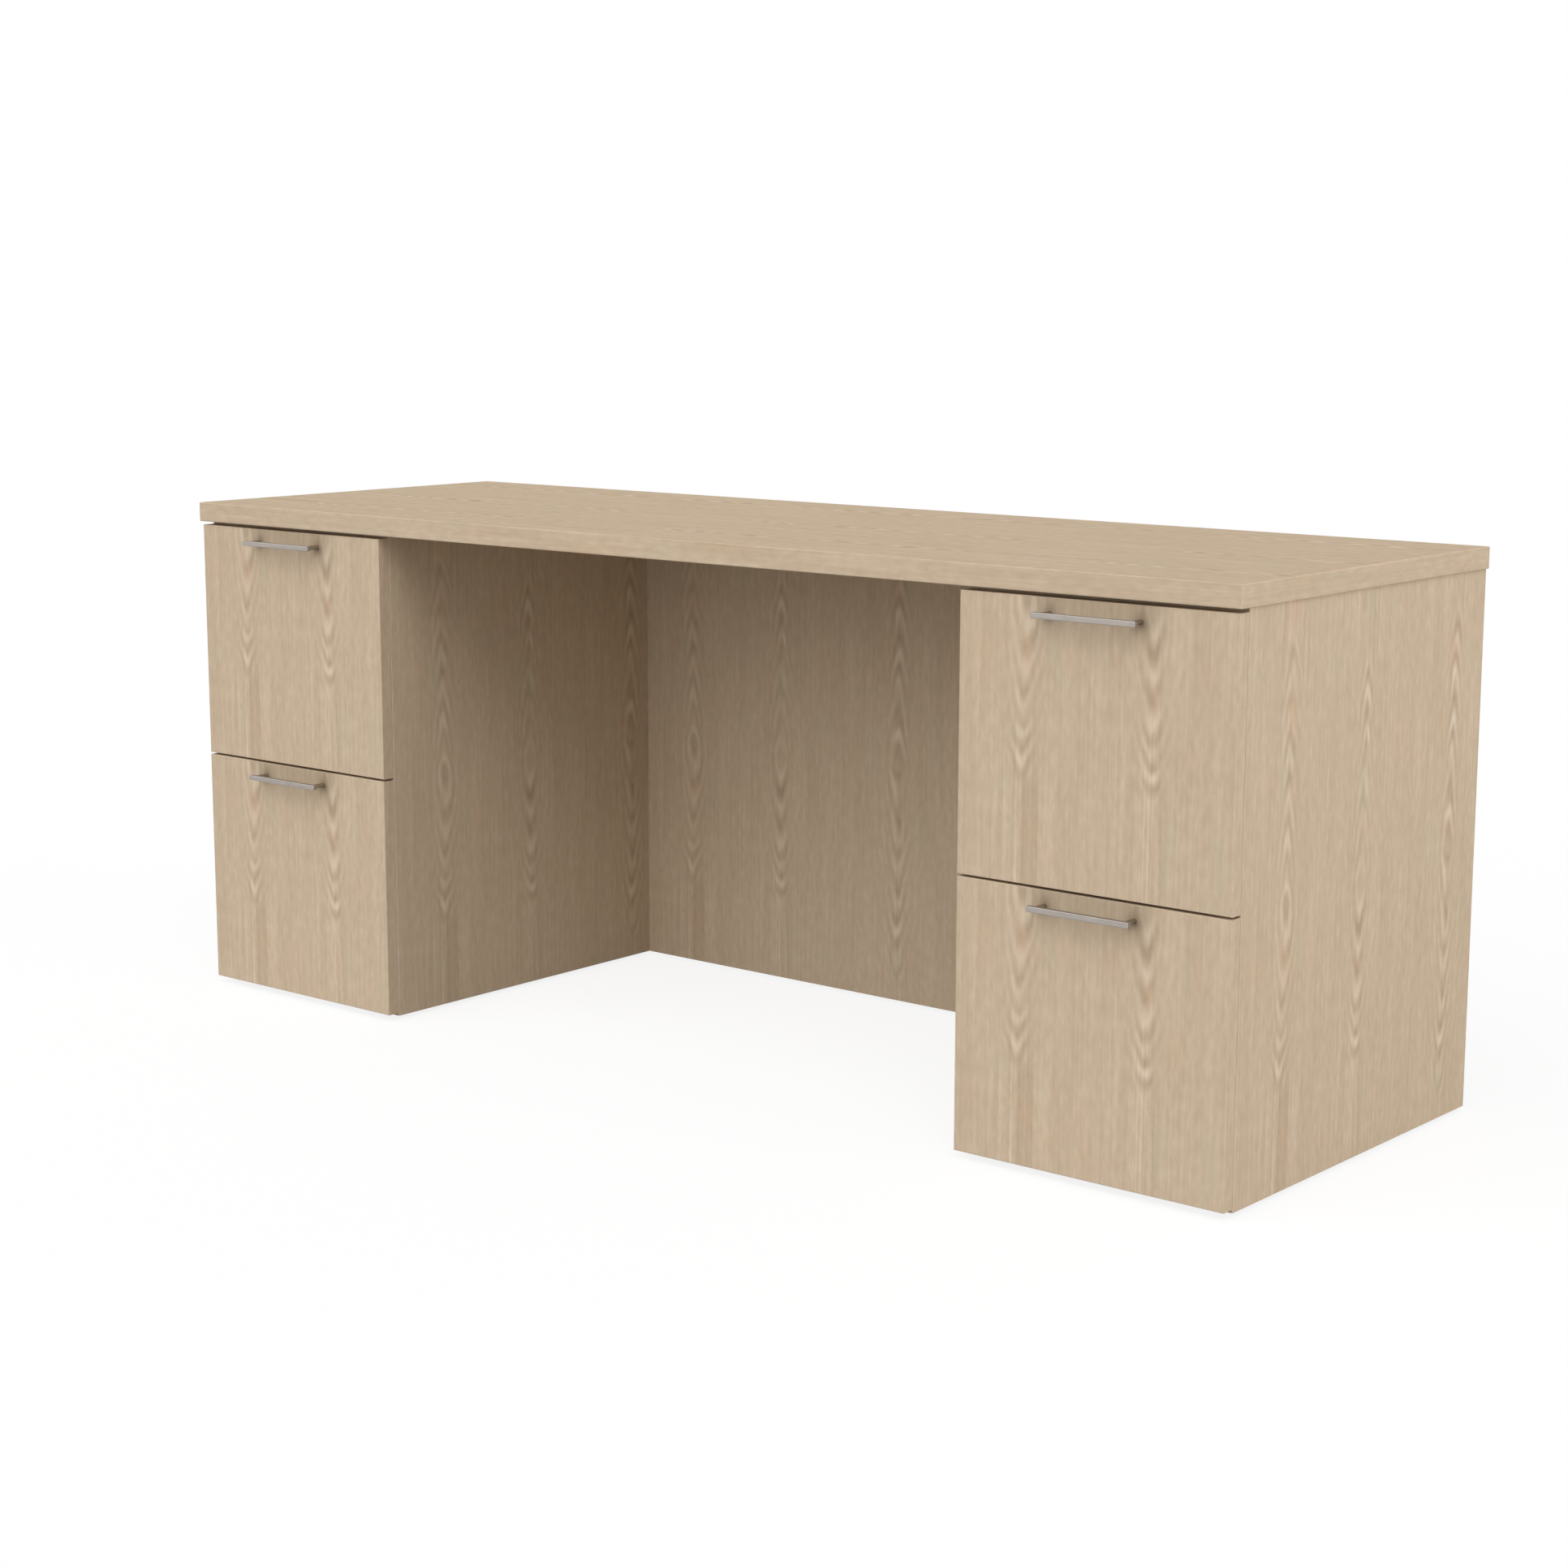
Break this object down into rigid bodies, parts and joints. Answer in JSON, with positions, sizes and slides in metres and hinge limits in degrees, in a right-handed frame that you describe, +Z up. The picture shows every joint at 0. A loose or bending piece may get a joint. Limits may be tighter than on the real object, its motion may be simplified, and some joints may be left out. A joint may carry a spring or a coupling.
{
  "type": "kneespace credenza",
  "caption": "Wood-grain office credenza with an open kneespace between two file-drawer pedestals, bar pulls and a full-height modesty back.",
  "frame": {"origin": "on the floor, at the middle of the footprint of the worktop and pulls", "axes": "+X to the right along the worktop as seen from the drawer side, +Y towards the back, +Z up"},
  "size_m": [1.8288, 0.634, 0.7493],
  "materials": {
    "oak_laminate": "matte oak-grain laminate",
    "satin_nickel": "satin",
    "box_board": "matte plain laminate",
    "rail_plastic": "matte",
    "slide_steel": "zinc plated",
    "cage_steel": "plain",
    "glide_nylon": "matte",
    "beech": "raw",
    "zinc": "zinc plated"
  },
  "bodies": {
    "case": {"worktop": "oak_laminate", "left_outer_side": "oak_laminate", "left_inner_side": "oak_laminate", "right_inner_side": "oak_laminate", "right_outer_side": "oak_laminate", "kneespace_back_panel": "oak_laminate", "left_pedestal_back": "oak_laminate", "right_pedestal_back": "oak_laminate", "left_pedestal_bottom": "oak_laminate", "right_pedestal_bottom": "oak_laminate", "left_top_rails": "oak_laminate", "right_top_rails": "oak_laminate", "levelling_glides": "glide_nylon", "panel_dowels": "beech", "panel_cams": "zinc", "worktop_screws": "zinc", "left_upper_slide_case_members": "slide_steel", "left_lower_slide_case_members": "slide_steel", "right_upper_slide_case_members": "slide_steel", "right_lower_slide_case_members": "slide_steel"},
    "left_upper_drawer": {"left_upper_drawer_front": "oak_laminate", "left_upper_pull": "satin_nickel", "left_upper_box_sides": "box_board", "left_upper_box_ends": "box_board", "left_upper_box_bottom": "box_board", "left_upper_file_rails": "rail_plastic", "left_upper_slide_drawer_members": "slide_steel"},
    "left_upper_runners": {"left_upper_slide_middle_members": "slide_steel"},
    "left_upper_outer_cages": {"left_upper_outer_ball_cages": "cage_steel"},
    "left_upper_inner_cages": {"left_upper_inner_ball_cages": "cage_steel"},
    "left_lower_drawer": {"left_lower_drawer_front": "oak_laminate", "left_lower_pull": "satin_nickel", "left_lower_box_sides": "box_board", "left_lower_box_ends": "box_board", "left_lower_box_bottom": "box_board", "left_lower_file_rails": "rail_plastic", "left_lower_slide_drawer_members": "slide_steel"},
    "left_lower_runners": {"left_lower_slide_middle_members": "slide_steel"},
    "left_lower_outer_cages": {"left_lower_outer_ball_cages": "cage_steel"},
    "left_lower_inner_cages": {"left_lower_inner_ball_cages": "cage_steel"},
    "right_upper_drawer": {"right_upper_drawer_front": "oak_laminate", "right_upper_pull": "satin_nickel", "right_upper_box_sides": "box_board", "right_upper_box_ends": "box_board", "right_upper_box_bottom": "box_board", "right_upper_file_rails": "rail_plastic", "right_upper_slide_drawer_members": "slide_steel"},
    "right_upper_runners": {"right_upper_slide_middle_members": "slide_steel"},
    "right_upper_outer_cages": {"right_upper_outer_ball_cages": "cage_steel"},
    "right_upper_inner_cages": {"right_upper_inner_ball_cages": "cage_steel"},
    "right_lower_drawer": {"right_lower_drawer_front": "oak_laminate", "right_lower_pull": "satin_nickel", "right_lower_box_sides": "box_board", "right_lower_box_ends": "box_board", "right_lower_box_bottom": "box_board", "right_lower_file_rails": "rail_plastic", "right_lower_slide_drawer_members": "slide_steel"},
    "right_lower_runners": {"right_lower_slide_middle_members": "slide_steel"},
    "right_lower_outer_cages": {"right_lower_outer_ball_cages": "cage_steel"},
    "right_lower_inner_cages": {"right_lower_inner_ball_cages": "cage_steel"}
  },
  "joints": [
    {"name": "left_upper_drawer_slide", "type": "slide", "parent": "case", "child": "left_upper_drawer", "axis": [0, -1, 0], "range_m": [0, 0.5]},
    {"name": "left_upper_runners_slide", "type": "slide", "parent": "case", "child": "left_upper_runners", "axis": [0, -1, 0], "range_m": [0, 0.25]},
    {"name": "left_upper_outer_cages_slide", "type": "slide", "parent": "case", "child": "left_upper_outer_cages", "axis": [0, -1, 0], "range_m": [0, 0.125]},
    {"name": "left_upper_inner_cages_slide", "type": "slide", "parent": "case", "child": "left_upper_inner_cages", "axis": [0, -1, 0], "range_m": [0, 0.375]},
    {"name": "left_lower_drawer_slide", "type": "slide", "parent": "case", "child": "left_lower_drawer", "axis": [0, -1, 0], "range_m": [0, 0.5]},
    {"name": "left_lower_runners_slide", "type": "slide", "parent": "case", "child": "left_lower_runners", "axis": [0, -1, 0], "range_m": [0, 0.25]},
    {"name": "left_lower_outer_cages_slide", "type": "slide", "parent": "case", "child": "left_lower_outer_cages", "axis": [0, -1, 0], "range_m": [0, 0.125]},
    {"name": "left_lower_inner_cages_slide", "type": "slide", "parent": "case", "child": "left_lower_inner_cages", "axis": [0, -1, 0], "range_m": [0, 0.375]},
    {"name": "right_upper_drawer_slide", "type": "slide", "parent": "case", "child": "right_upper_drawer", "axis": [0, -1, 0], "range_m": [0, 0.5]},
    {"name": "right_upper_runners_slide", "type": "slide", "parent": "case", "child": "right_upper_runners", "axis": [0, -1, 0], "range_m": [0, 0.25]},
    {"name": "right_upper_outer_cages_slide", "type": "slide", "parent": "case", "child": "right_upper_outer_cages", "axis": [0, -1, 0], "range_m": [0, 0.125]},
    {"name": "right_upper_inner_cages_slide", "type": "slide", "parent": "case", "child": "right_upper_inner_cages", "axis": [0, -1, 0], "range_m": [0, 0.375]},
    {"name": "right_lower_drawer_slide", "type": "slide", "parent": "case", "child": "right_lower_drawer", "axis": [0, -1, 0], "range_m": [0, 0.5]},
    {"name": "right_lower_runners_slide", "type": "slide", "parent": "case", "child": "right_lower_runners", "axis": [0, -1, 0], "range_m": [0, 0.25]},
    {"name": "right_lower_outer_cages_slide", "type": "slide", "parent": "case", "child": "right_lower_outer_cages", "axis": [0, -1, 0], "range_m": [0, 0.125]},
    {"name": "right_lower_inner_cages_slide", "type": "slide", "parent": "case", "child": "right_lower_inner_cages", "axis": [0, -1, 0], "range_m": [0, 0.375]}
  ],
  "couplings": [
    {"joint": "left_upper_runners_slide", "follows": "left_upper_drawer_slide", "ratio": 0.5},
    {"joint": "left_upper_outer_cages_slide", "follows": "left_upper_drawer_slide", "ratio": 0.25},
    {"joint": "left_upper_inner_cages_slide", "follows": "left_upper_drawer_slide", "ratio": 0.75},
    {"joint": "left_lower_runners_slide", "follows": "left_lower_drawer_slide", "ratio": 0.5},
    {"joint": "left_lower_outer_cages_slide", "follows": "left_lower_drawer_slide", "ratio": 0.25},
    {"joint": "left_lower_inner_cages_slide", "follows": "left_lower_drawer_slide", "ratio": 0.75},
    {"joint": "right_upper_runners_slide", "follows": "right_upper_drawer_slide", "ratio": 0.5},
    {"joint": "right_upper_outer_cages_slide", "follows": "right_upper_drawer_slide", "ratio": 0.25},
    {"joint": "right_upper_inner_cages_slide", "follows": "right_upper_drawer_slide", "ratio": 0.75},
    {"joint": "right_lower_runners_slide", "follows": "right_lower_drawer_slide", "ratio": 0.5},
    {"joint": "right_lower_outer_cages_slide", "follows": "right_lower_drawer_slide", "ratio": 0.25},
    {"joint": "right_lower_inner_cages_slide", "follows": "right_lower_drawer_slide", "ratio": 0.75}
  ]
}
